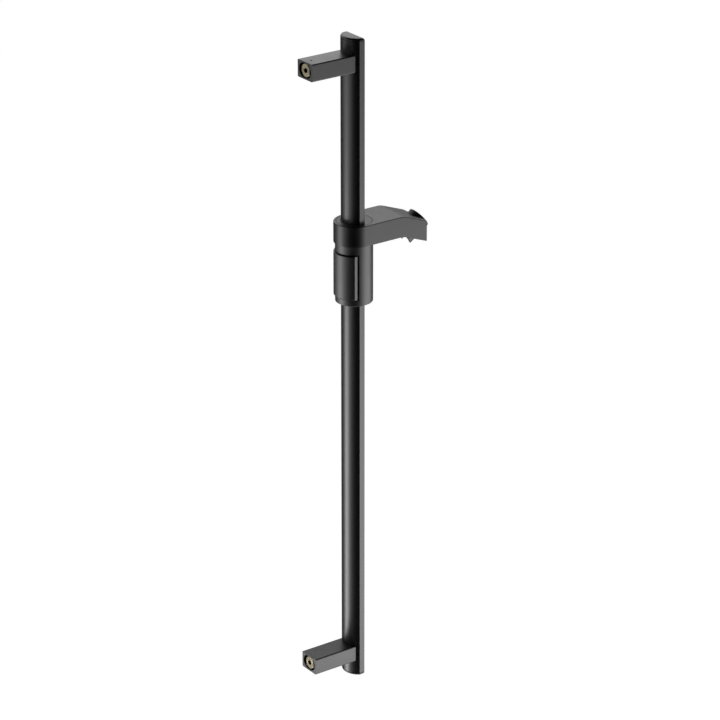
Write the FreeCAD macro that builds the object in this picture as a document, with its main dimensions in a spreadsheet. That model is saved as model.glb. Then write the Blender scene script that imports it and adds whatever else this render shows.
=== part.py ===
# A wall-mounted shower slide rail: a D-section rail on two square brackets, with a slider that is
# released by a panel on its wall side and carries a swivelling holder for a hand shower.
# Millimetres. The origin is the lower bracket's centre on the wall plane, +Y runs into the wall and +Z up.
import FreeCAD
import Part
import Sketcher
import math
import os
from FreeCAD import Placement, Rotation, Vector

SIZES = {
    # rail: a flat front, short flat sides and a round back
    "rail_length": 900.0,
    "rail_overhang": 33.0,
    "rail_standoff": 58.7,
    "rail_width": 39.0,
    "rail_depth": 19.3,
    "rail_side_depth": 8.3,
    "rail_wall": 2.0,
    "rail_corner_radius": 1.2,
    # end caps
    "cap_flange": 4.0,
    "cap_plug": 12.0,
    "cap_plug_clearance": 0.1,
    "cap_plug_wall": 2.5,
    "cap_edge_radius": 1.0,
    # brackets and what is in them
    "bracket_width": 32.0,
    "bracket_height": 23.0,
    "bracket_edge_radius": 0.8,
    "insert_diameter": 18.3,
    "insert_length": 12.0,
    "insert_recess": 1.0,
    "insert_bore": 6.2,
    "insert_chamfer": 0.8,
    "insert_play_height": 0.7,
    "insert_play_width": 7.7,
    "insert_groove_depth": 2.0,
    "insert_groove_floor": 1.6,
    "insert_groove_mouth": 4.4,
    "grub_diameter": 3.0,
    "grub_setback": 9.5,
    "grub_sink": 0.5,
    "grub_socket": 1.5,
    "bolt_diameter": 6.0,
    "bolt_length": 30.0,
    "bolt_head_diameter": 10.0,
    "bolt_head_height": 6.0,
    "bolt_socket": 5.0,
    "bolt_hole_clearance": 0.4,
    "bolt_seat_depth": 38.0,
    "bolt_well_diameter": 12.0,
    "bolt_washer_diameter": 11.4,
    "bolt_washer_thickness": 1.2,
    "nut_plate_width": 26.0,
    "nut_plate_height": 18.0,
    "nut_plate_thickness": 6.0,
    "thread_clearance": 0.05,
    # slider
    "slider_foot_height": 509.3,
    "slider_height": 110.0,
    "slider_axis_inset": 3.5,
    "slider_base_height": 8.3,
    "slider_rim_height": 10.65,
    "slider_edge_radius": 1.2,
    "shell_setback": 8.3,
    "shell_step": 1.22,
    "shell_wall": 1.2,
    "rail_gap": 0.3,
    "bush_wall": 1.0,
    "bush_shoulder": 0.5,
    "upper_bush_height": 14.0,
    "lower_bush_height": 7.0,
    "neck_wall": 2.0,
    "neck_chamfer": 0.5,
    # swivel
    "collar_height": 28.0,
    "collar_wall": 3.2,
    "collar_chamfer": 0.4,
    "swivel_clearance": 0.06,
    "swivel_washer_thickness": 0.6,
    "swivel_washer_inset": 0.3,
    "swivel_float": 0.05,
    "snap_ring_height": 1.4,
    "snap_ring_wall": 1.5,
    "snap_ring_lift": 7.0,
    "snap_groove_depth": 0.8,
    "snap_groove_play": 0.3,
    "snap_ring_gap": 9.7,
    # holder arm and its cone liner
    "arm_ridge_reach": 60.0,
    "arm_reach": 98.2,
    "arm_droop": 20.7,
    "arm_bend_radius": 30.0,
    "arm_tip_radius": 3.0,
    "arm_edge_radius": 0.9,
    "arm_foot_radius": 0.4,
    "cone_overhang": 5.6,
    "cone_sink": 3.4,
    "cone_lean": 52.2,
    "cone_length": 34.3,
    "cone_mouth_diameter": 24.4,
    "cone_foot_diameter": 21.2,
    "liner_wall": 3.0,
    "liner_ledge": 0.7,
    "liner_edge_radius": 0.6,
    "hose_slot_width": 18.0,
    # release panel, brake and spring
    "panel_half_width": 22.4,
    "panel_wall": 1.8,
    "panel_foot_gap": 1.2,
    "panel_head_gap": 1.5,
    "panel_edge_radius": 0.7,
    "flange_lap": 2.5,
    "leg_thickness": 1.2,
    "leg_side_gap": 0.4,
    "leg_height": 22.0,
    "leg_end_wall": 1.0,
    "brake_gap": 0.15,
    "pad_thickness": 1.6,
    "pad_width": 30.0,
    "pad_height": 16.0,
    "bar_thickness": 5.2,
    "bar_height": 18.0,
    "bar_end_gap": 0.15,
    "tongue_height": 12.0,
    "tongue_depth": 1.2,
    "tongue_gap": 0.1,
    "spring_thickness": 0.5,
    "spring_width": 10.0,
    "spring_half_span": 15.0,
    "spring_seat_gap": 0.05,
}

doc = FreeCAD.newDocument("ShowerSlideRail")
sheet = doc.addObject("Spreadsheet::Sheet", "Sizes")
for row, (alias, number) in enumerate(SIZES.items(), start=1):
    sheet.set(f"A{row}", alias)
    sheet.set(f"B{row}", str(number))
    sheet.setAlias(f"B{row}", alias)
doc.recompute()


class Measure:
    """A number and the sheet formula that gives it."""

    def __init__(self, text, value):
        self.text = text
        self.value = value

    def __add__(self, other):
        other = measure(other)
        return Measure(f"({self.text} + {other.text})", self.value + other.value)

    def __sub__(self, other):
        other = measure(other)
        return Measure(f"({self.text} - {other.text})", self.value - other.value)

    def __mul__(self, other):
        other = measure(other)
        return Measure(f"({self.text} * {other.text})", self.value * other.value)

    def __truediv__(self, other):
        other = measure(other)
        return Measure(f"({self.text} / {other.text})", self.value / other.value)

    def __neg__(self):
        return Measure(f"(-1 * {self.text})", -self.value)

    def __radd__(self, other):
        return measure(other) + self

    def __rsub__(self, other):
        return measure(other) - self

    def __rmul__(self, other):
        return measure(other) * self


def measure(number):
    return number if isinstance(number, Measure) else Measure(str(float(number)), float(number))


def size(alias):
    return Measure(f"Sizes.{alias}", float(sheet.get(alias)))


def root_of_difference(long_side, short_side):
    """The third side of a right triangle with this hypotenuse."""
    text = f"sqrt({long_side.text}^2 - {short_side.text}^2)"
    return Measure(text, (long_side.value**2 - short_side.value**2) ** 0.5)


def root_of_sum(one_side, other_side):
    text = f"sqrt({one_side.text}^2 + {other_side.text}^2)"
    return Measure(text, (one_side.value**2 + other_side.value**2) ** 0.5)


def tangent_of(angle):
    slope = Rotation(Vector(0, 0, 1), angle.value).multVec(Vector(1, 0, 0))
    return Measure(f"tan({angle.text})", slope.y / slope.x)


def bind(target, field, amount):
    target.setExpression(field, measure(amount).text)


def new_body(label):
    body = doc.addObject("PartDesign::Body", label)
    body.Label = label
    return body


def origin_item(body, role):
    return next(item for item in body.Origin.OriginFeatures if item.Role == role)


def new_sketch(body, name, plane, level=0.0):
    """An empty sketch parallel to an origin plane; level is measured along that plane's normal."""
    sketch = body.newObject("Sketcher::SketchObject", name)
    sketch.AttachmentSupport = [(origin_item(body, plane), "")]
    sketch.MapMode = "FlatFace"
    sketch.AttachmentOffset = Placement(Vector(0, 0, measure(level).value), Rotation())
    bind(sketch, "AttachmentOffset.Base.z", level)
    return sketch


def fix(sketch, kind, anchor, amount):
    """Adds one dimension, driven by the sheet."""
    amount = measure(amount)
    index = sketch.addConstraint(Sketcher.Constraint(kind, *anchor, amount.value))
    name = f"dimension_{index}"
    sketch.renameConstraint(index, name)
    bind(sketch, f"Constraints.{name}", amount)


def fix_point(sketch, geometry, point, across, along):
    fix(sketch, "DistanceX", (-1, 1, geometry, point), across)
    fix(sketch, "DistanceY", (-1, 1, geometry, point), along)


def close_loop(sketch, first, count):
    """Joins the end of each edge to the start of the next."""
    for step in range(count):
        here = first + step
        after = first + (step + 1) % count
        sketch.addConstraint(Sketcher.Constraint("Coincident", here, 2, after, 1))


def spot(across, along):
    return Vector(measure(across).value, measure(along).value, 0)


def add_polygon(sketch, corners):
    places = [spot(*corner) for corner in corners]
    first = sketch.GeometryCount
    for start, end in zip(places, places[1:] + places[:1]):
        sketch.addGeometry(Part.LineSegment(start, end), False)
    close_loop(sketch, first, len(corners))
    for step, corner in enumerate(corners):
        fix_point(sketch, first + step, 1, *corner)


def add_rectangle(sketch, left, right, low, high):
    add_polygon(sketch, [(left, low), (right, low), (right, high), (left, high)])


def add_circle(sketch, across, along, radius):
    radius = measure(radius)
    index = sketch.addGeometry(Part.Circle(spot(across, along), Vector(0, 0, 1), radius.value), False)
    fix_point(sketch, index, 3, across, along)
    fix(sketch, "Radius", (index,), radius)


def add_hexagon(sketch, across, along, flats):
    half = flats / 2
    corner = flats / 3**0.5
    add_polygon(sketch, [
        (across + corner, along), (across + corner / 2, along + half), (across - corner / 2, along + half),
        (across - corner, along), (across - corner / 2, along - half), (across + corner / 2, along - half),
    ])


def arc_between(centre, start, end):
    """A counter-clockwise arc from start to end about centre."""
    radius = (start - centre).Length
    circle = Part.Circle(centre, Vector(0, 0, 1), radius)
    turn = [circle.parameter(place) for place in (start, end)]
    return Part.ArcOfCircle(circle, turn[0], turn[1])


def add_obround(sketch, across, along, half_gap, radius):
    """A slot that lies along the sketch's X axis."""
    places = [spot(across + side * half_gap, along + lift * radius)
              for side, lift in ((-1, -1), (1, -1), (1, 1), (-1, 1))]
    first = sketch.GeometryCount
    sketch.addGeometry(Part.LineSegment(places[0], places[1]), False)
    sketch.addGeometry(arc_between(spot(across + half_gap, along), places[1], places[2]), False)
    sketch.addGeometry(Part.LineSegment(places[2], places[3]), False)
    sketch.addGeometry(arc_between(spot(across - half_gap, along), places[3], places[0]), False)
    for step in range(4):
        here, after = first + step, first + (step + 1) % 4
        sketch.addConstraint(Sketcher.Constraint("Tangent", here, 2, after, 1))
    fix_point(sketch, first + 1, 3, across + half_gap, along)
    fix_point(sketch, first + 3, 3, across - half_gap, along)
    fix(sketch, "Radius", (first + 1,), radius)
    sketch.addConstraint(Sketcher.Constraint("Equal", first + 1, first + 3))


def add_bowed_outline(sketch, half_width, flat, centre, radius):
    """Three straight sides and a bowed one on the +Y side, with the bow's centre on the Y axis."""
    bow = centre + root_of_difference(radius, half_width)
    right, left = spot(half_width, bow), spot(-half_width, bow)
    first = sketch.GeometryCount
    sketch.addGeometry(Part.LineSegment(spot(-half_width, flat), spot(half_width, flat)), False)
    sketch.addGeometry(Part.LineSegment(spot(half_width, flat), right), False)
    sketch.addGeometry(arc_between(spot(0, centre), right, left), False)
    sketch.addGeometry(Part.LineSegment(left, spot(-half_width, flat)), False)
    close_loop(sketch, first, 4)
    fix_point(sketch, first, 1, -half_width, flat)
    fix_point(sketch, first, 2, half_width, flat)
    fix_point(sketch, first + 2, 3, 0, centre)
    fix(sketch, "Radius", (first + 2,), radius)
    for edge in (first + 1, first + 3):
        sketch.addConstraint(Sketcher.Constraint("Vertical", edge))


def add_band(sketch, half_width, centre, inner, outer):
    """A curved band about a centre on the Y axis, cut off at both sides by planes of constant X."""
    reach = {radius: centre + root_of_difference(radius, half_width) for radius in (inner, outer)}
    first = sketch.GeometryCount
    for radius in (outer, inner):
        right, left = spot(half_width, reach[radius]), spot(-half_width, reach[radius])
        sketch.addGeometry(arc_between(spot(0, centre), right, left), False)
    for side, point in ((-half_width, 2), (half_width, 1)):
        ends = [spot(side, reach[radius]) for radius in (outer, inner)]
        line = sketch.addGeometry(Part.LineSegment(*ends), False)
        sketch.addConstraint(Sketcher.Constraint("Coincident", first, point, line, 1))
        sketch.addConstraint(Sketcher.Constraint("Coincident", first + 1, point, line, 2))
        fix(sketch, "DistanceX", (-1, 1, line, 1), side)
        fix(sketch, "DistanceX", (-1, 1, line, 2), side)
    for step, radius in enumerate((outer, inner)):
        fix_point(sketch, first + step, 3, 0, centre)
        fix(sketch, "Radius", (first + step,), radius)


def finish_feature(body, feature):
    body.Tip = feature
    doc.recompute()
    return feature


def pad(body, sketch, length, reverse=False, midplane=False):
    feature = body.newObject("PartDesign::Pad", sketch.Name + "_pad")
    feature.Profile = sketch
    bind(feature, "Length", length)
    feature.Reversed = reverse
    feature.Midplane = midplane
    return finish_feature(body, feature)


def cut(body, sketch, length, along_normal=True, midplane=False):
    """Cuts a sketch's outline out of the body and makes sure that material went."""
    before = body.Tip.Shape.Volume
    feature = body.newObject("PartDesign::Pocket", sketch.Name + "_cut")
    feature.Profile = sketch
    bind(feature, "Length", length)
    feature.Reversed = along_normal
    feature.Midplane = midplane
    finish_feature(body, feature)
    if feature.Shape.Volume > before - 1e-3:
        raise RuntimeError(f"{body.Label}: {feature.Name} removes nothing")
    return feature


def revolve(body, sketch, axis, turn=360.0):
    feature = body.newObject("PartDesign::Revolution", sketch.Name + "_turned")
    feature.Profile = sketch
    feature.ReferenceAxis = axis
    bind(feature, "Angle", turn)
    return finish_feature(body, feature)


def edges_where(feature, test):
    return [f"Edge{number}" for number, edge in enumerate(feature.Shape.Edges, start=1) if test(edge)]


def round_edges(body, test, radius, kind="Fillet"):
    """Fillets or chamfers the edges of the body's last feature that pass the test."""
    base = body.Tip
    names = edges_where(base, test)
    if not names:
        raise RuntimeError(f"{body.Label}: no edge to round")
    feature = body.newObject(f"PartDesign::{kind}", f"{body.Name}_{kind}")
    feature.Base = (base, names)
    bind(feature, "Radius" if kind == "Fillet" else "Size", radius)
    return finish_feature(body, feature)


def near(one, other):
    return abs(one - measure(other).value) < 1e-4


def flat_at(edge, axis, level):
    """True where the whole edge lies at one level along an axis, given by its letter."""
    box = edge.BoundBox
    return near(getattr(box, f"{axis}Min"), level) and near(getattr(box, f"{axis}Max"), level)


def along(edge, axis):
    """True for a straight edge parallel to an axis."""
    if edge.Curve.TypeId != "Part::GeomLine":
        return False
    return abs(abs(edge.tangentAt(edge.FirstParameter).dot(axis)) - 1) < 1e-6


def rim_test(body, up):
    """A test for edges where an upright face meets a face that looks up (1) or down (-1)."""
    shape = body.Tip.Shape

    def test(edge):
        middle = edge.valueAt((edge.FirstParameter + edge.LastParameter) / 2)
        faces = shape.ancestorsOfType(edge, Part.Face)
        lifts = [up * face.normalAt(*face.Surface.parameter(middle)).z for face in faces]
        return max(lifts) > 0.5 and abs(min(lifts)) < 0.1

    return test


# Places that several pieces share
half_rail = size("rail_width") / 2
rail_front = -size("rail_standoff") - size("rail_depth")
rail_bow = size("rail_depth") - size("rail_side_depth")
rail_radius = (half_rail * half_rail + rail_bow * rail_bow) / (2 * rail_bow)
rail_centre = -size("rail_standoff") - rail_radius
rail_foot = -size("rail_overhang")
rail_head = size("rail_length") - size("rail_overhang")
bracket_spacing = size("rail_length") - 2 * size("rail_overhang")
rail_inside_back = -size("rail_standoff") - size("rail_wall")

slider_axis = rail_front + size("slider_axis_inset")
slider_foot = size("slider_foot_height")
slider_head = slider_foot + size("slider_height")
bush_offset = size("rail_gap") + size("bush_wall")
bush_half = half_rail + bush_offset
bush_corner = rail_centre + root_of_difference(rail_radius + bush_offset, bush_half) - slider_axis
neck_radius = root_of_sum(bush_half, bush_corner) + size("neck_wall")
collar_bore = neck_radius + size("swivel_clearance")
collar_radius = collar_bore + size("collar_wall")
collar_foot = slider_head - size("collar_height")
shell_head = collar_foot - size("swivel_float") - size("swivel_washer_thickness")
shell_edge = slider_axis + size("shell_setback")
shell_radius = neck_radius + size("shell_step")
shell_inner = shell_radius - size("shell_wall")
ring_foot = collar_foot + size("snap_ring_lift")
ring_inner = neck_radius - size("snap_groove_depth")

cavity_foot = slider_foot + size("slider_base_height")
cavity_head = shell_head - size("slider_rim_height")
panel_foot = cavity_foot + size("panel_foot_gap")
panel_head = cavity_head - size("panel_head_gap")
panel_middle = (panel_foot + panel_head) / 2
panel_inner = collar_radius - size("panel_wall")
leg_inner = half_rail + size("leg_side_gap")
leg_outer = leg_inner + size("leg_thickness")
pad_face = rail_front - size("brake_gap")
bar_back = pad_face - size("pad_thickness")
bar_front = bar_back - size("bar_thickness")
leg_end = bar_back - size("tongue_depth") - size("tongue_gap") - size("leg_end_wall")

arm_ridge = slider_axis - size("arm_ridge_reach")
arm_tip = slider_axis - size("arm_reach")
arm_drop = (arm_ridge - arm_tip) * tangent_of(size("arm_droop"))
mouth_centre = arm_tip - size("cone_overhang")
mouth_height = slider_head - arm_drop - size("cone_sink")
liner_mouth = size("cone_mouth_diameter") / 2 + size("liner_wall")
liner_foot = size("cone_foot_diameter") / 2 + size("liner_wall")


def add_rail_outline(sketch, offset):
    """The rail's own outline, grown by an offset."""
    add_bowed_outline(sketch, half_rail + offset, rail_front - offset, rail_centre, rail_radius + offset)


def front_corner(edge):
    """True for the rail outline's upright edges at the front."""
    return along(edge, Vector(0, 0, 1)) and near(edge.BoundBox.YMax, rail_front)


def make_rail_tube():
    body = new_body("rail_tube")
    foot = rail_foot + size("cap_flange")
    length = size("rail_length") - 2 * size("cap_flange")
    outside = new_sketch(body, "rail_outside", "XY_Plane", foot)
    add_rail_outline(outside, measure(0))
    pad(body, outside, length)
    round_edges(body, front_corner, size("rail_corner_radius"))
    inside = new_sketch(body, "rail_inside", "XY_Plane", foot)
    add_rail_outline(inside, -size("rail_wall"))
    cut(body, inside, length)
    holes = new_sketch(body, "rail_bolt_holes", "XZ_Plane", size("rail_standoff"))
    for height in (measure(0), bracket_spacing):
        add_circle(holes, 0, height, (size("bolt_diameter") + size("bolt_hole_clearance")) / 2)
    cut(body, holes, size("rail_wall") + size("nut_plate_thickness"))


def make_end_cap(label, end, up):
    """A flange that finishes the rail's outline and a hollow plug inside the rail; up is 1 or -1."""
    body = new_body(label)
    seat = end - up * size("cap_flange")
    plug_offset = -size("rail_wall") - size("cap_plug_clearance")
    flange = new_sketch(body, f"{label}_flange", "XY_Plane", seat)
    add_rail_outline(flange, measure(0))
    pad(body, flange, size("cap_flange"), reverse=up < 0)
    round_edges(body, front_corner, size("rail_corner_radius"))
    plug = new_sketch(body, f"{label}_plug", "XY_Plane", seat)
    add_rail_outline(plug, plug_offset)
    pad(body, plug, size("cap_plug"), reverse=up > 0)
    hollow = new_sketch(body, f"{label}_hollow", "XY_Plane", seat - up * size("cap_plug"))
    add_rail_outline(hollow, plug_offset - size("cap_plug_wall"))
    cut(body, hollow, size("cap_plug"), along_normal=up > 0)
    round_edges(body, lambda edge: flat_at(edge, "Z", end), size("cap_edge_radius"))


def make_bracket(label, height, turned_over):
    """A square arm with a wall-end pocket for the brass bush and a saddle that fits the rail's back."""
    body = new_body(label)
    half_width = size("bracket_width") / 2
    half_height = size("bracket_height") / 2
    bar = new_sketch(body, f"{label}_bar", "XZ_Plane")
    add_rectangle(bar, -half_width, half_width, -half_height, half_height)
    pad(body, bar, size("rail_standoff") + rail_bow)
    round_edges(body, lambda edge: along(edge, Vector(0, 1, 0)), size("bracket_edge_radius"))
    saddle = new_sketch(body, f"{label}_saddle", "XY_Plane")
    add_circle(saddle, 0, rail_centre, rail_radius)
    cut(body, saddle, 2 * size("bracket_height"), midplane=True)
    pocket = new_sketch(body, f"{label}_pocket", "XZ_Plane")
    pocket_radius = (size("insert_diameter") + size("insert_play_height")) / 2
    half_gap = (size("insert_play_width") - size("insert_play_height")) / 2
    add_obround(pocket, measure(0), measure(0), half_gap, pocket_radius)
    cut(body, pocket, size("insert_recess") + size("insert_length"))
    well = new_sketch(body, f"{label}_bolt_well", "XZ_Plane")
    add_circle(well, 0, 0, size("bolt_well_diameter") / 2)
    cut(body, well, size("bolt_seat_depth"))
    hole = new_sketch(body, f"{label}_bolt_hole", "XZ_Plane")
    add_circle(hole, 0, 0, (size("bolt_diameter") + size("bolt_hole_clearance")) / 2)
    cut(body, hole, size("rail_standoff") + rail_bow)
    grub = new_sketch(body, f"{label}_grub_hole", "XY_Plane", half_height)
    add_circle(grub, 0, -size("grub_setback"), size("grub_diameter") / 2 + size("thread_clearance"))
    cut(body, grub, half_height, along_normal=False)
    place_at_bracket(body, height, turned_over)


def place_at_bracket(body, height, turned_over):
    body.Placement = Placement(Vector(0, 0, 0), Rotation(Vector(0, 1, 0), 180 if turned_over else 0))
    bind(body, "Placement.Base.z", height)


def make_wall_insert(label, height):
    """A turned bush with a chamfered bore and a groove for the grub screw's point."""
    body = new_body(label)
    profile = new_sketch(body, f"{label}_profile", "XY_Plane")
    outer = size("insert_diameter") / 2
    bore = size("insert_bore") / 2
    chamfer = size("insert_chamfer")
    face = -size("insert_recess")
    back = face - size("insert_length")
    groove = -size("grub_setback")
    floor = outer - size("insert_groove_depth")
    half_mouth = size("insert_groove_mouth") / 2
    half_floor = size("insert_groove_floor") / 2
    add_polygon(profile, [
        (bore + chamfer, face), (bore, face - chamfer), (bore, back), (outer - chamfer, back),
        (outer, back + chamfer), (outer, groove - half_mouth), (floor, groove - half_floor),
        (floor, groove + half_floor), (outer, groove + half_mouth), (outer, face - chamfer),
        (outer - chamfer, face),
    ])
    revolve(body, profile, (origin_item(body, "Y_Axis"), [""]))
    place_at_bracket(body, height, False)


def make_grub_screw(label, height, turned_over):
    """A cone-point screw that reaches from the bracket's face into the bush's groove."""
    body = new_body(label)
    radius = size("grub_diameter") / 2
    head = size("bracket_height") / 2 - size("grub_sink")
    point = size("insert_diameter") / 2 - size("insert_groove_depth") + size("thread_clearance")
    tip = radius / 3
    screw = new_sketch(body, f"{label}_profile", "XZ_Plane")
    cone_top = point + radius - tip
    add_polygon(screw, [(0, point), (tip, point), (radius, cone_top), (radius, head), (0, head)])
    revolve(body, screw, (origin_item(body, "Z_Axis"), [""]))
    socket = new_sketch(body, f"{label}_socket", "XY_Plane", head)
    add_hexagon(socket, measure(0), measure(0), size("grub_socket"))
    cut(body, socket, size("grub_socket"), along_normal=False)
    setback = size("grub_setback")
    place_at_bracket(body, height, turned_over)
    bind(body, "Placement.Base.y", -setback)


def make_bracket_bolt(label, height):
    body = new_body(label)
    shank = size("bolt_diameter") / 2
    head = size("bolt_head_diameter") / 2
    seat = -size("bolt_seat_depth") + size("bolt_washer_thickness")
    top = seat + size("bolt_head_height")
    profile = new_sketch(body, f"{label}_profile", "XY_Plane")
    end = seat - size("bolt_length")
    add_polygon(profile, [(0, end), (shank, end), (shank, seat), (head, seat), (head, top), (0, top)])
    revolve(body, profile, (origin_item(body, "Y_Axis"), [""]))
    socket = new_sketch(body, f"{label}_socket", "XZ_Plane", -top)
    add_hexagon(socket, measure(0), measure(0), size("bolt_socket"))
    cut(body, socket, size("bolt_head_height") / 2)
    place_at_bracket(body, height, False)


def make_bolt_washer(label, height):
    body = new_body(label)
    face = size("bolt_seat_depth") - size("bolt_washer_thickness")
    ring = new_sketch(body, f"{label}_ring", "XZ_Plane", face)
    add_circle(ring, 0, 0, size("bolt_washer_diameter") / 2)
    add_circle(ring, 0, 0, (size("bolt_diameter") + size("bolt_hole_clearance")) / 2)
    pad(body, ring, size("bolt_washer_thickness"))
    place_at_bracket(body, height, False)


def make_nut_plate(label, height):
    """A plate bowed to the inside of the rail's back, with the bolt's hole."""
    body = new_body(label)
    plate = new_sketch(body, f"{label}_outline", "XY_Plane")
    front = rail_inside_back - size("nut_plate_thickness")
    bow = rail_radius - size("rail_wall")
    add_bowed_outline(plate, size("nut_plate_width") / 2, front, rail_centre, bow)
    pad(body, plate, size("nut_plate_height"), midplane=True)
    hole = new_sketch(body, f"{label}_hole", "XZ_Plane", -rail_inside_back)
    add_circle(hole, 0, 0, size("bolt_diameter") / 2 + size("thread_clearance"))
    cut(body, hole, 2 * size("nut_plate_thickness"), midplane=True)
    place_at_bracket(body, height, False)


def make_slider_body():
    """A neck for the holder's collar over a round shell that is open on the wall side behind the panel."""
    body = new_body("slider_body")
    neck = new_sketch(body, "slider_neck", "XY_Plane", slider_foot)
    add_circle(neck, 0, slider_axis, neck_radius)
    pad(body, neck, size("slider_height"))
    shell = new_sketch(body, "slider_shell", "XY_Plane", slider_foot)
    add_circle(shell, 0, slider_axis, shell_radius)
    pad(body, shell, shell_head - slider_foot)
    cavity = new_sketch(body, "slider_cavity", "XY_Plane", cavity_foot)
    add_circle(cavity, 0, slider_axis, shell_inner)
    cut(body, cavity, cavity_head - cavity_foot)
    opening = new_sketch(body, "slider_opening", "XY_Plane", cavity_foot)
    add_rectangle(opening, -collar_radius, collar_radius, shell_edge, slider_axis + collar_radius)
    cut(body, opening, cavity_head - cavity_foot)
    bore = new_sketch(body, "slider_bore", "XY_Plane", slider_foot)
    add_rail_outline(bore, bush_offset - size("bush_shoulder"))
    cut(body, bore, size("slider_height"))
    lower_seat = new_sketch(body, "slider_lower_seat", "XY_Plane", slider_foot)
    add_rail_outline(lower_seat, bush_offset)
    cut(body, lower_seat, size("lower_bush_height"))
    upper_seat = new_sketch(body, "slider_upper_seat", "XY_Plane", slider_head)
    add_rail_outline(upper_seat, bush_offset)
    cut(body, upper_seat, size("upper_bush_height"), along_normal=False)
    groove = new_sketch(body, "slider_snap_groove", "XY_Plane", ring_foot)
    add_circle(groove, 0, slider_axis, ring_inner)
    add_circle(groove, 0, slider_axis, neck_radius + size("collar_wall"))
    cut(body, groove, size("snap_ring_height") + size("swivel_float"))

    def neck_top(edge):
        return flat_at(edge, "Z", slider_head) and near(edge.BoundBox.XLength, 2 * neck_radius)

    def shell_bottom(edge):
        return flat_at(edge, "Z", slider_foot) and near(edge.BoundBox.XLength, 2 * shell_radius)

    round_edges(body, neck_top, size("neck_chamfer"), "Chamfer")
    round_edges(body, shell_bottom, size("slider_edge_radius"))


def make_guide_bush(label, foot, height):
    body = new_body(label)
    ring = new_sketch(body, f"{label}_outline", "XY_Plane", foot)
    add_rail_outline(ring, bush_offset)
    add_rail_outline(ring, size("rail_gap"))
    pad(body, ring, height)


def make_swivel_washer():
    body = new_body("swivel_washer")
    ring = new_sketch(body, "swivel_washer_ring", "XY_Plane", shell_head)
    add_circle(ring, 0, slider_axis, shell_radius - size("swivel_washer_inset"))
    add_circle(ring, 0, slider_axis, collar_bore)
    pad(body, ring, size("swivel_washer_thickness"))


def make_snap_ring():
    """An open ring that sits in the neck's groove and reaches into the collar's."""
    body = new_body("swivel_snap_ring")
    profile = new_sketch(body, "snap_ring_profile", "YZ_Plane")
    inner = ring_inner + size("swivel_clearance")
    outer = inner + size("snap_ring_wall")
    add_rectangle(profile, inner, outer, ring_foot, ring_foot + size("snap_ring_height"))
    turn = 360 - math.degrees(1) * size("snap_ring_gap") / inner
    revolve(body, profile, (origin_item(body, "Z_Axis"), [""]), turn)
    body.Placement = Placement(Vector(0, slider_axis.value, 0), Rotation())
    bind(body, "Placement.Base.y", slider_axis)


def new_cone_sketch(body, name):
    """A sketch in the arm's middle plane whose Y axis is the cone's axis, with its origin at the mouth."""
    sketch = new_sketch(body, name, "YZ_Plane")
    turn = size("cone_lean")
    place = Vector(mouth_centre.value, mouth_height.value, 0)
    sketch.AttachmentOffset = Placement(place, Rotation(Vector(0, 0, 1), turn.value))
    bind(sketch, "AttachmentOffset.Base.x", mouth_centre)
    bind(sketch, "AttachmentOffset.Base.y", mouth_height)
    bind(sketch, "AttachmentOffset.Rotation.Angle", turn)
    return sketch


def cut_hose_slot(body, name):
    slot = new_cone_sketch(body, name)
    add_rectangle(slot, -2 * liner_mouth, 0, -2 * size("cone_length"), size("cone_length"))
    cut(body, slot, size("hose_slot_width"), midplane=True)


def make_holder_arm():
    """Collar and arm in one casting; the arm's end droops and is bored on a slant for the cone liner."""
    body = new_body("holder_arm")
    collar = new_sketch(body, "arm_collar", "XY_Plane", collar_foot)
    add_circle(collar, 0, slider_axis, collar_radius)
    pad(body, collar, size("collar_height"))
    side = new_sketch(body, "arm_side", "YZ_Plane")
    add_polygon(side, [
        (slider_axis, collar_foot), (slider_axis, slider_head), (arm_ridge, slider_head),
        (arm_tip, slider_head - arm_drop), (arm_tip, collar_foot - arm_drop), (arm_ridge, collar_foot),
    ])
    pad(body, side, 2 * collar_radius, midplane=True)

    def bend(edge):
        return along(edge, Vector(1, 0, 0)) and near(edge.BoundBox.YMin, arm_ridge)

    def tip_corner(edge):
        return along(edge, Vector(0, 0, 1)) and near(edge.BoundBox.YMin, arm_tip)

    round_edges(body, bend, size("arm_bend_radius"))
    round_edges(body, tip_corner, size("arm_tip_radius"))
    round_edges(body, rim_test(body, 1), size("arm_edge_radius"))
    round_edges(body, rim_test(body, -1), size("arm_foot_radius"))
    bore = new_sketch(body, "arm_collar_bore", "XY_Plane", collar_foot)
    add_circle(bore, 0, slider_axis, collar_bore)
    cut(body, bore, size("collar_height"))

    def bore_mouth(edge):
        return flat_at(edge, "Z", slider_head) and near(edge.BoundBox.XLength, 2 * collar_bore)

    round_edges(body, bore_mouth, size("collar_chamfer"), "Chamfer")
    play = size("snap_groove_play")
    groove = new_sketch(body, "arm_snap_groove", "XY_Plane", ring_foot - play)
    ring_outer = ring_inner + size("swivel_clearance") + size("snap_ring_wall")
    add_circle(groove, 0, slider_axis, ring_outer + play)
    add_circle(groove, 0, slider_axis, collar_bore - play)
    cut(body, groove, size("snap_ring_height") + 2 * play)
    cone = new_cone_sketch(body, "arm_cone_bore")
    ledge = liner_foot - size("liner_ledge")
    add_polygon(cone, [
        (0, size("cone_length")), (liner_mouth, size("cone_length")), (liner_mouth, 0),
        (liner_foot, -size("cone_length")), (ledge, -size("cone_length")),
        (ledge, -2 * size("cone_length")), (0, -2 * size("cone_length")),
    ])
    turned = body.newObject("PartDesign::Groove", "arm_cone_bore_turned")
    turned.Profile = cone
    turned.ReferenceAxis = (cone, ["V_Axis"])
    turned.Angle = 360.0
    finish_feature(body, turned)
    cut_hose_slot(body, "arm_hose_slot")


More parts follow.
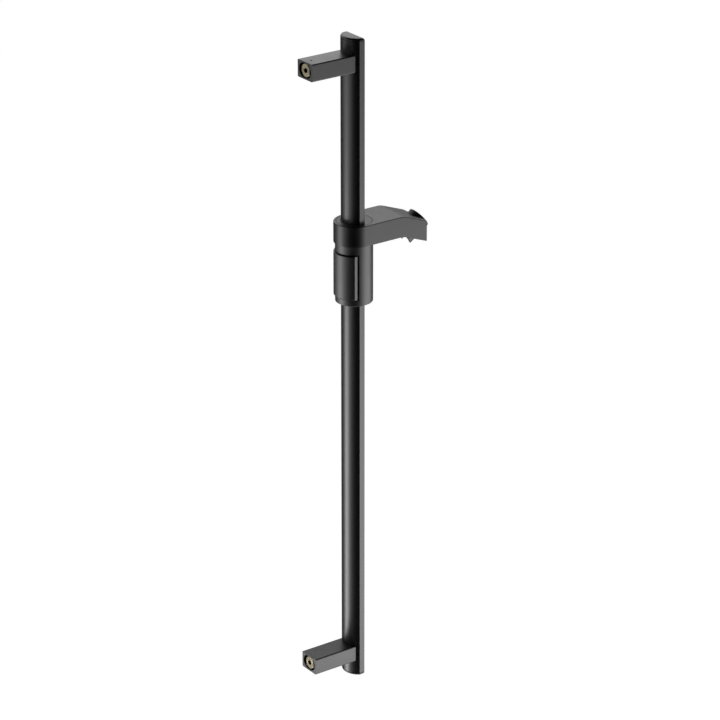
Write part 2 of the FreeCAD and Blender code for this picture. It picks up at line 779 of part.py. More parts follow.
def make_cone_liner():
    """A conical sleeve with a hose slot along its lower side."""
    body = new_body("cone_liner")
    profile = new_cone_sketch(body, "liner_profile")
    mouth = size("cone_mouth_diameter") / 2
    foot = size("cone_foot_diameter") / 2
    add_polygon(profile, [
        (mouth, 0), (liner_mouth, 0), (liner_foot, -size("cone_length")), (foot, -size("cone_length")),
    ])
    revolve(body, profile, (profile, ["V_Axis"]))
    round_edges(body, lambda edge: edge.Curve.TypeId == "Part::GeomCircle", size("liner_edge_radius"))
    cut_hose_slot(body, "liner_hose_slot")


def make_release_button():
    """The panel that is pressed towards the user: its side flanges lap behind the shell's edges and
    their middles reach past the rail's sides as legs."""
    body = new_body("release_button")
    panel = new_sketch(body, "button_panel", "XY_Plane", panel_foot)
    add_band(panel, size("panel_half_width"), slider_axis, panel_inner, collar_radius)
    pad(body, panel, panel_head - panel_foot)

    def panel_rim(edge):
        box = edge.BoundBox
        ends = flat_at(edge, "Z", panel_foot) or flat_at(edge, "Z", panel_head)
        return ends and near(box.YMax, slider_axis + collar_radius)

    round_edges(body, panel_rim, size("panel_edge_radius"))
    leg_root = slider_axis + root_of_difference(panel_inner, leg_inner) + size("panel_wall") / 2
    flange_height = panel_head - panel_foot - 2 * size("panel_edge_radius")
    flange_end = shell_edge - size("flange_lap")
    for name, end, height in (("legs", leg_end, size("leg_height")), ("flanges", flange_end, flange_height)):
        sides = new_sketch(body, f"button_{name}", "XY_Plane", panel_middle - height / 2)
        for inside, outside in ((leg_inner, leg_outer), (-leg_outer, -leg_inner)):
            add_rectangle(sides, inside, outside, end, leg_root)
        pad(body, sides, height)
    windows = new_sketch(body, "button_leg_windows", "YZ_Plane")
    gap = size("tongue_gap")
    half = size("tongue_height") / 2 + gap
    front = bar_back - size("tongue_depth") - gap
    add_rectangle(windows, front, bar_back + gap, panel_middle - half, panel_middle + half)
    cut(body, windows, 2 * collar_radius, midplane=True)


def make_brake_bar():
    """A cross bar in front of the rail whose end tongues snap into the legs' windows."""
    body = new_body("brake_bar")
    half = leg_inner - size("bar_end_gap")
    shoulder = half - 2 * size("leg_thickness")
    step = bar_back - size("tongue_depth")
    bar = new_sketch(body, "bar_outline", "XY_Plane", panel_middle - size("bar_height") / 2)
    add_polygon(bar, [
        (half, bar_back), (-half, bar_back), (-half, step),
        (-shoulder, bar_front), (shoulder, bar_front), (half, step),
    ])
    pad(body, bar, size("bar_height"))
    tongues = new_sketch(body, "bar_tongues", "XY_Plane", panel_middle - size("tongue_height") / 2)
    add_rectangle(tongues, -leg_outer, leg_outer, step, bar_back)
    pad(body, tongues, size("tongue_height"))


def make_brake_pad():
    body = new_body("brake_pad")
    outline = new_sketch(body, "pad_outline", "XZ_Plane", -pad_face)
    half_height = size("pad_height") / 2
    half_gap = size("pad_width") / 2 - half_height
    add_obround(outline, measure(0), panel_middle, half_gap, half_height)
    pad(body, outline, size("pad_thickness"))


def make_brake_spring():
    """A bowed leaf: its ends sit on the shell's inside and its crown bears on the brake bar."""
    body = new_body("brake_spring")
    half_span = size("spring_half_span")
    crown = bar_front - size("spring_seat_gap")
    seat = slider_axis - root_of_difference(shell_inner, half_span) + size("spring_seat_gap")
    bow = crown - size("spring_thickness") - seat
    hollow = (half_span * half_span + bow * bow) / (2 * bow)
    back = hollow + size("spring_thickness")
    leaf = new_sketch(body, "spring_leaf", "XY_Plane", panel_middle - size("spring_width") / 2)
    add_band(leaf, half_span, crown - back, hollow, back)
    pad(body, leaf, size("spring_width"))


make_rail_tube()
make_end_cap("top_end_cap", rail_head, 1)
make_end_cap("bottom_end_cap", rail_foot, -1)
for end, height, turned_over in (("upper", bracket_spacing, False), ("lower", measure(0), True)):
    make_bracket(f"{end}_bracket", height, turned_over)
    make_wall_insert(f"{end}_wall_insert", height)
    make_grub_screw(f"{end}_grub_screw", height, turned_over)
    make_bracket_bolt(f"{end}_bracket_bolt", height)
    make_bolt_washer(f"{end}_bolt_washer", height)
    make_nut_plate(f"{end}_nut_plate", height)
make_slider_body()
make_guide_bush("upper_guide_bush", slider_head - size("upper_bush_height"), size("upper_bush_height"))
make_guide_bush("lower_guide_bush", slider_foot, size("lower_bush_height"))
make_swivel_washer()
make_snap_ring()
make_holder_arm()
make_cone_liner()
make_release_button()
make_brake_bar()
make_brake_pad()
make_brake_spring()
doc.recompute()

for item in doc.Objects:
    if "Invalid" in item.State or "Error" in item.State:
        raise RuntimeError(f"{item.Label} failed: {item.State}")

bodies = [item for item in doc.Objects if item.TypeId == "PartDesign::Body"]
for body in bodies:
    if body.Shape.isNull() or not body.Shape.isValid():
        raise RuntimeError(f"{body.Label} has no sound shape")

os.makedirs("parts", exist_ok=True)
for body in bodies:
    body.Shape.exportStep(f"parts/{body.Label}.step")
    box = body.Shape.BoundBox
    low = ", ".join(f"{value:.2f}" for value in (box.XMin, box.YMin, box.ZMin))
    high = ", ".join(f"{value:.2f}" for value in (box.XMax, box.YMax, box.ZMax))
    print(f"{body.Label}: {len(body.Shape.Solids)} solid, {body.Shape.Volume:.1f} mm3, [{low}] to [{high}]")
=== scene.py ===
import math

import bpy
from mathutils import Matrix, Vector


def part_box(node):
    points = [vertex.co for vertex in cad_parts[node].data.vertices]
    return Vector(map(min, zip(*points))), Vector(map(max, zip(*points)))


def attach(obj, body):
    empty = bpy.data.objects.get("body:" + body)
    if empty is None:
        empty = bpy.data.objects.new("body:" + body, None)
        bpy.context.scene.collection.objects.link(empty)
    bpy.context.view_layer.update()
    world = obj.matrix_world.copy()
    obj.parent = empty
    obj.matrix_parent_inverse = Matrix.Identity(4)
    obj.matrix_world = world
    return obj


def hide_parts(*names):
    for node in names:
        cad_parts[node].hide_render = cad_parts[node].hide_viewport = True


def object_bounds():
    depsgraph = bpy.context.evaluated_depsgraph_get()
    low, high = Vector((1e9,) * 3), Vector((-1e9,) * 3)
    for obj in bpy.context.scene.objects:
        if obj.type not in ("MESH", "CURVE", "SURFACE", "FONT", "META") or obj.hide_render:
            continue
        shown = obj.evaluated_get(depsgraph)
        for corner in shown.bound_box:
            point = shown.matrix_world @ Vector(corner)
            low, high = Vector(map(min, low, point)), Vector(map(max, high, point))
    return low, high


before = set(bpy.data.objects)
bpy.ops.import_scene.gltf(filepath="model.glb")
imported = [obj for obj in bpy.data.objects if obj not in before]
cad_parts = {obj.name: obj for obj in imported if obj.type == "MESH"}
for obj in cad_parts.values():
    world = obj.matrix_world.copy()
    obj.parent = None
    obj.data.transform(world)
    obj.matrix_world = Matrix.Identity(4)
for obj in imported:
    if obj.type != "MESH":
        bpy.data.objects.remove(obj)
cad_low, cad_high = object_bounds()
centre = (cad_low + cad_high) / 2

MM = 0.001
WHITE = "#FFFFFF"
# A wave texture's rings in a metre, at a scale of 1
RINGS_AT_SCALE_ONE = 10 / math.pi


def to_linear(hex_colour):
    """Turns an sRGB hex value into the linear colour that a socket takes."""
    channels = [int(hex_colour[place:place + 2], 16) / 255 for place in (1, 3, 5)]
    linear = [c / 12.92 if c <= 0.04045 else ((c + 0.055) / 1.055) ** 2.4 for c in channels]
    return (*linear, 1.0)


def add_node(tree, kind, settings=None, links=None):
    """Adds a node, sets its properties and sockets by name, and links its inputs to other outputs."""
    node = tree.nodes.new(kind)
    for name, value in (settings or {}).items():
        if hasattr(node, name):
            setattr(node, name, value)
        else:
            node.inputs[name].default_value = value
    for name, output in (links or {}).items():
        tree.links.new(output, node.inputs[name])
    return node


def new_material(name):
    """A new material, its tree and its output, the tree's only node."""
    material = bpy.data.materials.new(name)
    material.use_nodes = True
    tree = material.node_tree
    tree.nodes.clear()
    output = add_node(tree, "ShaderNodeOutputMaterial")
    return material, tree, output


def waves_per_metre(spacing):
    """How many features of this spacing fit in a metre, which is a noise texture's scale."""
    return 1 / spacing


# Satin black coat on drawn aluminium: an even black with a soft broad sheen, drawing lines along the
# rail that only just show in the sheen, and a very faint orange peel from the sprayed coat.
def coated_extrusion():
    material, tree, output = new_material("satin_black_coated_extruded_aluminium")
    place = add_node(tree, "ShaderNodeTexCoord").outputs["Object"]
    peel_size = 0.9 * MM
    line_width = 0.6 * MM
    line_length = 180 * MM
    patch_size = 45 * MM
    along = add_node(tree, "ShaderNodeMapping", {"Scale": (1.0, 1.0, line_width / line_length)},
                     {"Vector": place})
    lines = add_node(tree, "ShaderNodeTexNoise", {"Scale": waves_per_metre(line_width), "Detail": 2.0},
                     {"Vector": along.outputs["Vector"]})
    peel = add_node(tree, "ShaderNodeTexNoise", {"Scale": waves_per_metre(peel_size), "Detail": 3.0},
                    {"Vector": place})
    patches = add_node(tree, "ShaderNodeTexNoise", {"Scale": waves_per_metre(patch_size), "Detail": 2.0},
                       {"Vector": place})
    tone = add_node(tree, "ShaderNodeMix",
                    {"data_type": "RGBA", "A": to_linear("#0B0B0C"), "B": to_linear("#0F0F10")},
                    {"Factor": patches.outputs["Fac"]})
    gloss = add_node(tree, "ShaderNodeMapRange", {"To Min": 0.33, "To Max": 0.41},
                     {"Value": lines.outputs["Fac"]})
    relief = add_node(tree, "ShaderNodeBump", {"Strength": 0.10, "Distance": 0.02 * MM},
                      {"Height": peel.outputs["Fac"]})
    shader = add_node(tree, "ShaderNodeBsdfPrincipled", {"IOR": 1.5},
                      {"Base Color": tone.outputs["Result"], "Roughness": gloss.outputs["Result"],
                       "Normal": relief.outputs["Normal"]})
    tree.links.new(shader.outputs["BSDF"], output.inputs["Surface"])
    return material


# Satin black coat on a ground zinc casting: the rail's black and sheen, with the coat's soft peel
# in place of lines, so that the square arms read as one finish with the rail.
def coated_casting():
    material, tree, output = new_material("satin_black_coated_zinc_casting")
    place = add_node(tree, "ShaderNodeTexCoord").outputs["Object"]
    peel_size = 1.2 * MM
    patch_size = 20 * MM
    peel = add_node(tree, "ShaderNodeTexNoise", {"Scale": waves_per_metre(peel_size), "Detail": 3.0},
                    {"Vector": place})
    patches = add_node(tree, "ShaderNodeTexNoise", {"Scale": waves_per_metre(patch_size), "Detail": 2.0},
                       {"Vector": place})
    tone = add_node(tree, "ShaderNodeMix",
                    {"data_type": "RGBA", "A": to_linear("#0B0B0C"), "B": to_linear("#0F0F10")},
                    {"Factor": patches.outputs["Fac"]})
    gloss = add_node(tree, "ShaderNodeMapRange", {"To Min": 0.34, "To Max": 0.42},
                     {"Value": patches.outputs["Fac"]})
    relief = add_node(tree, "ShaderNodeBump", {"Strength": 0.12, "Distance": 0.02 * MM},
                      {"Height": peel.outputs["Fac"]})
    shader = add_node(tree, "ShaderNodeBsdfPrincipled", {"IOR": 1.5},
                      {"Base Color": tone.outputs["Result"], "Roughness": gloss.outputs["Result"],
                       "Normal": relief.outputs["Normal"]})
    tree.links.new(shader.outputs["BSDF"], output.inputs["Surface"])
    return material


# Satin black coat on moulded ABS, over a fine even grain from the mould. The arm and caps keep the
# metal's sheen; the slider's body and panel are grained more, which spreads their sheen further.
# The grain is drawn about twice as coarse as it is, so that it shows at all.
def coated_moulding(name, smoothest, roughest, index):
    material, tree, output = new_material(name)
    place = add_node(tree, "ShaderNodeTexCoord").outputs["Object"]
    grain_size = 0.5 * MM
    patch_size = 18 * MM
    grain = add_node(tree, "ShaderNodeTexNoise", {"Scale": waves_per_metre(grain_size), "Detail": 2.0},
                     {"Vector": place})
    patches = add_node(tree, "ShaderNodeTexNoise", {"Scale": waves_per_metre(patch_size), "Detail": 2.0},
                       {"Vector": place})
    tone = add_node(tree, "ShaderNodeMix",
                    {"data_type": "RGBA", "A": to_linear("#0B0B0C"), "B": to_linear("#0F0F10")},
                    {"Factor": patches.outputs["Fac"]})
    gloss = add_node(tree, "ShaderNodeMapRange", {"To Min": smoothest, "To Max": roughest},
                     {"Value": patches.outputs["Fac"]})
    relief = add_node(tree, "ShaderNodeBump", {"Strength": 0.15, "Distance": 0.015 * MM},
                      {"Height": grain.outputs["Fac"]})
    shader = add_node(tree, "ShaderNodeBsdfPrincipled", {"IOR": index},
                      {"Base Color": tone.outputs["Result"], "Roughness": gloss.outputs["Result"],
                       "Normal": relief.outputs["Normal"]})
    tree.links.new(shader.outputs["BSDF"], output.inputs["Surface"])
    return material


# Black polypropylene with a spark-eroded mould texture: the arm's black, a little drier.
def eroded_polypropylene():
    material, tree, output = new_material("black_spark_textured_moulded_polypropylene")
    place = add_node(tree, "ShaderNodeTexCoord").outputs["Object"]
    pit_size = 0.4 * MM
    pits = add_node(tree, "ShaderNodeTexNoise", {"Scale": waves_per_metre(pit_size), "Detail": 3.0},
                    {"Vector": place})
    tone = add_node(tree, "ShaderNodeMix",
                    {"data_type": "RGBA", "A": to_linear("#0A0A0B"), "B": to_linear("#0E0E0F")},
                    {"Factor": pits.outputs["Fac"]})
    gloss = add_node(tree, "ShaderNodeMapRange", {"To Min": 0.42, "To Max": 0.54},
                     {"Value": pits.outputs["Fac"]})
    relief = add_node(tree, "ShaderNodeBump", {"Strength": 0.3, "Distance": 0.03 * MM},
                      {"Height": pits.outputs["Fac"]})
    shader = add_node(tree, "ShaderNodeBsdfPrincipled", {"IOR": 1.49},
                      {"Base Color": tone.outputs["Result"], "Roughness": gloss.outputs["Result"],
                       "Normal": relief.outputs["Normal"]})
    tree.links.new(shader.outputs["BSDF"], output.inputs["Surface"])
    return material


# Turned brass, bare: a dulled brown gold with rings round the bush's own axis from the lathe tool, which
# catch the light as arcs, and darker patches from handling. The rings are drawn several times as coarse
# as they are, so that they show.
def turned_brass(name, bush_height):
    material, tree, output = new_material(name)
    place = add_node(tree, "ShaderNodeTexCoord").outputs["Object"]
    ring_spacing = 2.6 * MM
    patch_size = 4 * MM
    on_axis = add_node(tree, "ShaderNodeMapping", {"Location": (0.0, 0.0, -bush_height)},
                       {"Vector": place})
    rings = add_node(tree, "ShaderNodeTexWave",
                     {"wave_type": "RINGS", "rings_direction": "Y",
                      "Scale": waves_per_metre(ring_spacing) / RINGS_AT_SCALE_ONE, "Distortion": 0.4},
                     {"Vector": on_axis.outputs["Vector"]})
    patches = add_node(tree, "ShaderNodeTexNoise", {"Scale": waves_per_metre(patch_size), "Detail": 2.0},
                       {"Vector": place})
    tone = add_node(tree, "ShaderNodeMix",
                    {"data_type": "RGBA", "A": to_linear("#726957"), "B": to_linear("#A1987F")},
                    {"Factor": patches.outputs["Fac"]})
    gloss = add_node(tree, "ShaderNodeMapRange", {"To Min": 0.15, "To Max": 0.23},
                     {"Value": patches.outputs["Fac"]})
    relief = add_node(tree, "ShaderNodeBump", {"Strength": 0.8, "Distance": 0.10 * MM},
                      {"Height": rings.outputs["Fac"]})
    shader = add_node(tree, "ShaderNodeBsdfPrincipled", {"Metallic": 1.0},
                      {"Base Color": tone.outputs["Result"], "Roughness": gloss.outputs["Result"],
                       "Normal": relief.outputs["Normal"]})
    tree.links.new(shader.outputs["BSDF"], output.inputs["Surface"])
    return material


# Plain stainless steel, rolled and tumbled: a neutral grey metal with a soft cloudy sheen.
def tumbled_steel():
    material, tree, output = new_material("tumbled_stainless_steel")
    place = add_node(tree, "ShaderNodeTexCoord").outputs["Object"]
    cloud_size = 1.5 * MM
    clouds = add_node(tree, "ShaderNodeTexNoise", {"Scale": waves_per_metre(cloud_size), "Detail": 3.0},
                      {"Vector": place})
    tone = add_node(tree, "ShaderNodeMix",
                    {"data_type": "RGBA", "A": to_linear("#A9AAAC"), "B": to_linear("#BFC0C1")},
                    {"Factor": clouds.outputs["Fac"]})
    gloss = add_node(tree, "ShaderNodeMapRange", {"To Min": 0.28, "To Max": 0.42},
                     {"Value": clouds.outputs["Fac"]})
    shader = add_node(tree, "ShaderNodeBsdfPrincipled", {"Metallic": 1.0},
                      {"Base Color": tone.outputs["Result"], "Roughness": gloss.outputs["Result"]})
    tree.links.new(shader.outputs["BSDF"], output.inputs["Surface"])
    return material


# Black acetal, moulded bare: a waxy black, slightly greyer than the coated pieces.
def moulded_acetal():
    material, tree, output = new_material("black_moulded_acetal")
    place = add_node(tree, "ShaderNodeTexCoord").outputs["Object"]
    flow_size = 6 * MM
    flow = add_node(tree, "ShaderNodeTexNoise", {"Scale": waves_per_metre(flow_size), "Detail": 2.0},
                    {"Vector": place})
    tone = add_node(tree, "ShaderNodeMix",
                    {"data_type": "RGBA", "A": to_linear("#161617"), "B": to_linear("#1C1C1D")},
                    {"Factor": flow.outputs["Fac"]})
    gloss = add_node(tree, "ShaderNodeMapRange", {"To Min": 0.40, "To Max": 0.50},
                     {"Value": flow.outputs["Fac"]})
    shader = add_node(tree, "ShaderNodeBsdfPrincipled", {"IOR": 1.48},
                      {"Base Color": tone.outputs["Result"], "Roughness": gloss.outputs["Result"]})
    tree.links.new(shader.outputs["BSDF"], output.inputs["Surface"])
    return material


# Black nitrile rubber, pressed: a dry matt black with a faint bloom.
def pressed_rubber():
    material, tree, output = new_material("black_pressed_nitrile_rubber")
    place = add_node(tree, "ShaderNodeTexCoord").outputs["Object"]
    bloom_size = 3 * MM
    bloom = add_node(tree, "ShaderNodeTexNoise", {"Scale": waves_per_metre(bloom_size), "Detail": 4.0},
                     {"Vector": place})
    tone = add_node(tree, "ShaderNodeMix",
                    {"data_type": "RGBA", "A": to_linear("#141414"), "B": to_linear("#1B1B1B")},
                    {"Factor": bloom.outputs["Fac"]})
    shader = add_node(tree, "ShaderNodeBsdfPrincipled", {"IOR": 1.52, "Roughness": 0.8},
                      {"Base Color": tone.outputs["Result"]})
    tree.links.new(shader.outputs["BSDF"], output.inputs["Surface"])
    return material


GRAINED_NODES = ("slider_body", "release_button")
FINISHES = {
    "coated_aluminium": coated_extrusion(),
    "coated_zinc": coated_casting(),
    "moulded_black": coated_moulding("satin_black_coated_moulded_abs",
                                     smoothest=0.35, roughest=0.43, index=1.45),
    "liner_black": eroded_polypropylene(),
    "steel": tumbled_steel(),
    "bush_black": moulded_acetal(),
    "pad_rubber": pressed_rubber(),
}
grained_moulding = coated_moulding("grained_black_coated_moulded_abs",
                                   smoothest=0.43, roughest=0.51, index=1.62)
for name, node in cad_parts.items():
    for slot in node.material_slots:
        if name in GRAINED_NODES:
            slot.material = grained_moulding
        elif slot.material.name == "turned_brass":
            low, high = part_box(name)
            slot.material = turned_brass(f"turned_brass_of_{name}", (low.z + high.z) / 2)
        else:
            slot.material = FINISHES[slot.material.name]

# End caps: the rail's outline with a well-rounded outer edge, a fine groove where they meet the rail, and
# a hollow plug inside it
RAIL_HALF_WIDTH = 19.5 * MM
RAIL_FRONT = -78.0 * MM
RAIL_BACK = -58.7 * MM
RAIL_BOW = 11.0 * MM
RAIL_CORNER_RADIUS = 1.2 * MM
CAP_FLANGE = 4.0 * MM
CAP_EDGE_RADIUS = 3.2 * MM
CAP_JOINT = 0.6 * MM
CAP_JOINT_DEPTH = 0.5 * MM
CAP_PLUG = 12.0 * MM
CAP_PLUG_INSET = 2.1 * MM
CAP_PLUG_WALL = 2.5 * MM
OUTLINE_POINTS = 192
ROUNDING_STEPS = 8
SMOOTH_ANGLE = math.radians(30)
# Outline points nearer than this are merged, which leaves the rounding room at the corners
SLIVER = 0.3 * MM
# Points nearer than this to a place are at it
TOUCH = 0.01 * MM


def select_points(mesh, wanted):
    """Leaves only the points that pass a test selected, in edit mode."""
    bpy.ops.mesh.select_mode(type="VERT")
    bpy.ops.mesh.select_all(action="DESELECT")
    bpy.ops.object.mode_set(mode="OBJECT")
    for point in mesh.vertices:
        point.select = wanted(point.co)
    bpy.ops.object.mode_set(mode="EDIT")


def extrude(rise):
    """Extrudes what is selected by a height, which may be negative."""
    bpy.ops.mesh.extrude_region_move(TRANSFORM_OT_translate={"value": (0.0, 0.0, rise)})


def rounded_cap(node, up):
    """A cap for the rail's head or foot; up is 1 or -1."""
    low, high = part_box(node)
    end = high.z if up > 0 else low.z
    seat = end - up * (CAP_FLANGE - CAP_JOINT)
    radius = (RAIL_HALF_WIDTH ** 2 + RAIL_BOW ** 2) / (2 * RAIL_BOW)
    bpy.ops.object.select_all(action="DESELECT")
    bpy.ops.mesh.primitive_circle_add(vertices=OUTLINE_POINTS, radius=radius, fill_type="NGON")
    cap = bpy.context.object
    cap.name = f"rounded_{node}"
    bpy.ops.object.mode_set(mode="EDIT")
    bpy.ops.mesh.select_all(action="SELECT")
    bpy.ops.transform.translate(value=(0.0, RAIL_BACK - radius, seat))
    for place, outward in (((0.0, RAIL_FRONT, 0.0), (0.0, -1.0, 0.0)),
                           ((RAIL_HALF_WIDTH, 0.0, 0.0), (1.0, 0.0, 0.0)),
                           ((-RAIL_HALF_WIDTH, 0.0, 0.0), (-1.0, 0.0, 0.0))):
        bpy.ops.mesh.select_all(action="SELECT")
        bpy.ops.mesh.bisect(plane_co=place, plane_no=outward, clear_outer=True)
    bpy.ops.mesh.select_all(action="SELECT")
    bpy.ops.mesh.remove_doubles(threshold=SLIVER)
    bpy.ops.mesh.select_all(action="SELECT")
    if up < 0:
        bpy.ops.mesh.flip_normals()
    extrude(end - seat)
    select_points(cap.data, lambda spot: abs(spot.z - end) < TOUCH)
    bpy.ops.transform.edge_bevelweight(value=1.0)
    for side in (-RAIL_HALF_WIDTH, RAIL_HALF_WIDTH):
        corner = Vector((side, RAIL_FRONT))
        select_points(cap.data, lambda spot: (spot.xy - corner).length < TOUCH)
        bpy.ops.transform.edge_bevelweight(value=RAIL_CORNER_RADIUS / CAP_EDGE_RADIUS)
    select_points(cap.data, lambda spot: abs(spot.z - seat) < TOUCH)
    bpy.ops.mesh.select_mode(type="FACE")
    bpy.ops.mesh.inset(thickness=CAP_JOINT_DEPTH)
    extrude(-up * CAP_JOINT)
    bpy.ops.mesh.inset(thickness=CAP_PLUG_INSET - CAP_JOINT_DEPTH)
    extrude(-up * CAP_PLUG)
    bpy.ops.mesh.inset(thickness=CAP_PLUG_WALL)
    extrude(up * CAP_PLUG)
    bpy.ops.object.mode_set(mode="OBJECT")
    rounding = cap.modifiers.new("rounding", "BEVEL")
    rounding.limit_method = "WEIGHT"
    rounding.width = CAP_EDGE_RADIUS
    rounding.segments = ROUNDING_STEPS
    bpy.ops.object.modifier_apply(modifier=rounding.name)
    bpy.ops.object.shade_smooth_by_angle(angle=SMOOTH_ANGLE)
    cap.data.materials.append(FINISHES["moulded_black"])
    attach(cap, "rail")
    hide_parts(node)


rounded_cap("top_end_cap", 1)
rounded_cap("bottom_end_cap", -1)

# Brackets: the square arms, cut to a bar whose long edges are well rounded
BRACKET_EDGE_RADIUS = 1.8 * MM
BAR_SPARE = 0.02 * MM
# Corners of the copied triangles nearer than this become one
WELD = 0.001 * MM


def rounded_bar(low, high):
    """A bar round a box, a hair larger on every side, with its edges along Y rounded."""
    bpy.ops.object.select_all(action="DESELECT")
    bpy.ops.mesh.primitive_cube_add(size=1.0)
    bar = bpy.context.object
    bpy.ops.object.mode_set(mode="EDIT")
    bpy.ops.mesh.select_all(action="SELECT")
    spare = Vector((BAR_SPARE, BAR_SPARE, BAR_SPARE))
    bpy.ops.transform.resize(value=high - low + 2 * spare)
    bpy.ops.transform.translate(value=(low + high) / 2)
    bpy.ops.mesh.select_mode(type="EDGE")
    bpy.ops.mesh.select_all(action="DESELECT")
    bpy.ops.object.mode_set(mode="OBJECT")
    for edge in bar.data.edges:
        start, finish = (bar.data.vertices[index].co for index in edge.vertices)
        edge.select = abs(start.y - finish.y) > TOUCH
    bpy.ops.object.mode_set(mode="EDIT")
    bpy.ops.mesh.bevel(offset=BRACKET_EDGE_RADIUS, segments=ROUNDING_STEPS, affect="EDGES")
    bpy.ops.object.mode_set(mode="OBJECT")
    return bar


def rounded_bracket(node):
    """A bracket's own shape with rounder long edges, in place of its node."""
    bar = rounded_bar(*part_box(node))
    bracket = bpy.data.objects.new(f"rounded_{node}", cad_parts[node].data.copy())
    bpy.context.scene.collection.objects.link(bracket)
    bpy.ops.object.select_all(action="DESELECT")
    bpy.context.view_layer.objects.active = bracket
    bracket.select_set(True)
    bpy.ops.object.mode_set(mode="EDIT")
    bpy.ops.mesh.select_all(action="SELECT")
    bpy.ops.mesh.remove_doubles(threshold=WELD)
    bpy.ops.object.mode_set(mode="OBJECT")
    shaping = bracket.modifiers.new("shaping", "BOOLEAN")
    shaping.operation = "INTERSECT"
    shaping.solver = "EXACT"
    shaping.object = bar
    bpy.ops.object.modifier_apply(modifier=shaping.name)
    bpy.data.objects.remove(bar)
    bpy.ops.object.shade_smooth_by_angle(angle=SMOOTH_ANGLE)
    evening = bracket.modifiers.new("evening", "WEIGHTED_NORMAL")
    evening.keep_sharp = True
    bpy.ops.object.modifier_apply(modifier=evening.name)
    bracket.data.materials.clear()
    bracket.data.materials.append(FINISHES["coated_zinc"])
    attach(bracket, "rail")
    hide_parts(node)


rounded_bracket("upper_bracket")
rounded_bracket("lower_bracket")

# Camera at the photograph's viewing angle
VIEW_AZIMUTH = math.radians(234.5)
VIEW_ELEVATION = math.radians(23.22)
VIEW_DISTANCE = 4.1483
LENS = 158.5
AIM_RIGHT = -7.2 * MM
AIM_UP = 2.8 * MM

toward_camera = Vector((
    math.sin(VIEW_AZIMUTH) * math.cos(VIEW_ELEVATION),
    -math.cos(VIEW_AZIMUTH) * math.cos(VIEW_ELEVATION),
    math.sin(VIEW_ELEVATION),
))
view_turn = (-toward_camera).to_track_quat("-Z", "Y")
aim = centre + view_turn @ Vector((AIM_RIGHT, AIM_UP, 0))

camera_data = bpy.data.cameras.new("camera")
camera_data.lens = LENS
camera = bpy.data.objects.new("camera", camera_data)
camera.location = aim + toward_camera * VIEW_DISTANCE
camera.rotation_mode = "QUATERNION"
camera.rotation_quaternion = view_turn
bpy.context.scene.collection.objects.link(camera)
bpy.context.scene.camera = camera

# Studio: a pale floor well below the hanging rail, two low softboxes beside it, a dark flag on the camera's
# side and a dark canopy overhead, a pale card behind the rail between two grey wings, and a lamp above the
# card. Bearings are in degrees from the camera's side round to its left.
UP = Vector((0, 0, 1))
DOWN = Vector((0, 0, -1))
IN_FRONT = 0.0
BEHIND = 180.0
FLOOR_LEVEL = -1.6
FLOOR_WIDTH = 14.0
SOFTBOX_DISTANCE = 2.0
SOFTBOX_LEVEL = -0.98
SOFTBOX_HEIGHT = 1.6
LEFT_SOFTBOX_BEARING = 84.5
RIGHT_SOFTBOX_BEARING = -86.0
LEFT_SOFTBOX_WIDTH = 0.8
RIGHT_SOFTBOX_WIDTH = 2.1
LEFT_SOFTBOX_POWER = 40.0
RIGHT_SOFTBOX_POWER = 55.0
TOP_LAMP_DISTANCE = 1.9
TOP_LAMP_LEVEL = 1.75
TOP_LAMP_WIDTH = 2.6
TOP_LAMP_HEIGHT = 1.2
TOP_LAMP_POWER = 10.5
FLAG_DISTANCE = 1.25
FLAG_WIDTH = 2.3
FLAG_HEAD = 1.2
CANOPY_DISTANCE = 1.3
CANOPY_LEVEL = 1.9
CANOPY_WIDTH = 4.0
CARD_DISTANCE = 1.6
CARD_WIDTH = 1.4
CARD_HEAD = 0.8
WING_BEARING = 138.0


def toward(bearing):
    """The level direction of a bearing."""
    turn = VIEW_AZIMUTH - math.radians(bearing)
    return Vector((math.sin(turn), -math.cos(turn), 0))


def place_studio(bearing, distance, level):
    """A place at a bearing and distance from the object's middle, at a height above the origin."""
    spot = toward(bearing) * distance
    return Vector((centre.x + spot.x, centre.y + spot.y, level))


def add_softbox(name, place, target, width, height, power):
    """A rectangular studio lamp that faces a target."""
    data = bpy.data.lights.new(name, "AREA")
    data.shape = "RECTANGLE"
    data.size = width
    data.size_y = height
    data.energy = power
    lamp = bpy.data.objects.new(name, data)
    lamp.location = place
    lamp.rotation_mode = "QUATERNION"
    lamp.rotation_quaternion = (target - place).to_track_quat("-Z", "Y")
    lamp.visible_camera = False
    bpy.context.scene.collection.objects.link(lamp)


def add_side_softbox(name, bearing, width, power):
    """A low upright softbox beside the rail."""
    place = place_studio(bearing, SOFTBOX_DISTANCE, SOFTBOX_LEVEL)
    target = Vector((centre.x, centre.y, SOFTBOX_LEVEL))
    add_softbox(name, place, target, width, SOFTBOX_HEIGHT, power)


def background_light(tree):
    """1 for what the camera, reflections and clear pieces see, 0 for the light that falls on the object."""
    path = add_node(tree, "ShaderNodeLightPath")
    total = path.outputs["Is Camera Ray"]
    for name in ("Is Glossy Ray", "Is Transmission Ray"):
        both = add_node(tree, "ShaderNodeMath", {"operation": "MAXIMUM"})
        tree.links.new(total, both.inputs[0])
        tree.links.new(path.outputs[name], both.inputs[1])
        total = both.outputs[0]
    return total


def add_sheet(name, place, facing, width, height, material):
    """A flat sheet of the studio, upright or lying."""
    bpy.ops.object.select_all(action="DESELECT")
    bpy.ops.mesh.primitive_plane_add(size=1.0, location=place)
    sheet = bpy.context.object
    sheet.name = name
    sheet.rotation_mode = "QUATERNION"
    sheet.rotation_quaternion = facing.to_track_quat("Z", "Y")
    sheet.scale = (width, height, 1.0)
    sheet.data.materials.append(material)
    return sheet


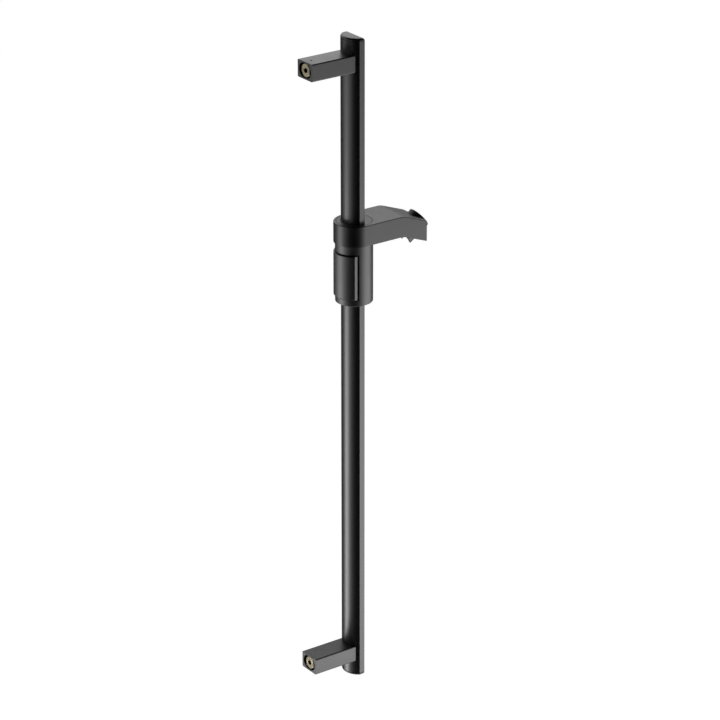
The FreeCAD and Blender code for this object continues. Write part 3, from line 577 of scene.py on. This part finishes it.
# Pale studio floor: white where the camera looks, with enough plain paper in it to keep a shadow
def floor_paper():
    material, tree, output = new_material("pale_studio_floor")
    paper = add_node(tree, "ShaderNodeBsdfDiffuse", {"Color": to_linear("#D8D8D8")})
    glow = add_node(tree, "ShaderNodeEmission", {"Color": to_linear("#EBEBEB")},
                    {"Strength": background_light(tree)})
    both = add_node(tree, "ShaderNodeAddShader")
    tree.links.new(paper.outputs["BSDF"], both.inputs[0])
    tree.links.new(glow.outputs["Emission"], both.inputs[1])
    tree.links.new(both.outputs["Shader"], output.inputs["Surface"])
    return material


# Studio card or felt: a plain matt sheet of one tone
def studio_card(name, colour):
    material, tree, output = new_material(name)
    card = add_node(tree, "ShaderNodeBsdfDiffuse", {"Color": to_linear(colour)})
    tree.links.new(card.outputs["BSDF"], output.inputs["Surface"])
    return material


def add_flag(name, bearing, distance, width, head, material):
    """An upright sheet from the floor to a head height, which the camera doesn't see."""
    height = head - FLOOR_LEVEL
    place = place_studio(bearing, distance, FLOOR_LEVEL + height / 2)
    flag = add_sheet(name, place, -toward(bearing), width, height, material)
    flag.visible_camera = False


floor_middle = Vector((centre.x, centre.y, FLOOR_LEVEL))
add_sheet("floor", floor_middle, UP, FLOOR_WIDTH, FLOOR_WIDTH, floor_paper())
add_side_softbox("left_softbox", LEFT_SOFTBOX_BEARING, LEFT_SOFTBOX_WIDTH, LEFT_SOFTBOX_POWER)
add_side_softbox("right_softbox", RIGHT_SOFTBOX_BEARING, RIGHT_SOFTBOX_WIDTH, RIGHT_SOFTBOX_POWER)
top_lamp_place = place_studio(BEHIND, TOP_LAMP_DISTANCE, TOP_LAMP_LEVEL)
add_softbox("top_softbox", top_lamp_place, centre, TOP_LAMP_WIDTH, TOP_LAMP_HEIGHT, TOP_LAMP_POWER)
felt = studio_card("dark_studio_felt", "#101010")
add_flag("front_flag", IN_FRONT, FLAG_DISTANCE, FLAG_WIDTH, FLAG_HEAD, felt)
canopy_place = place_studio(IN_FRONT, CANOPY_DISTANCE, CANOPY_LEVEL)
canopy = add_sheet("canopy", canopy_place, DOWN, CANOPY_WIDTH, CANOPY_WIDTH, felt)
canopy.visible_camera = False
pale_card = studio_card("pale_studio_card", "#D6D6D6")
add_flag("back_card", BEHIND, CARD_DISTANCE, CARD_WIDTH, CARD_HEAD, pale_card)
grey_card = studio_card("grey_studio_card", "#6A6A6A")
add_flag("left_wing", WING_BEARING, CARD_DISTANCE, CARD_WIDTH, CARD_HEAD, grey_card)
add_flag("right_wing", -WING_BEARING, CARD_DISTANCE, CARD_WIDTH, CARD_HEAD, grey_card)

# World: white for what the camera and reflections see, and a plain even fill for everything else
FILL = 0.25
world = bpy.data.worlds.new("studio")
bpy.context.scene.world = world
world.use_nodes = True
tree = world.node_tree
tree.nodes.clear()
strength = add_node(tree, "ShaderNodeMapRange", {"To Min": FILL, "To Max": 1.0},
                    {"Value": background_light(tree)})
surround = add_node(tree, "ShaderNodeBackground", {"Color": to_linear(WHITE)},
                    {"Strength": strength.outputs["Result"]})
add_node(tree, "ShaderNodeOutputWorld", None, {"Surface": surround.outputs["Background"]})

bpy.context.scene.view_settings.view_transform = "Standard"
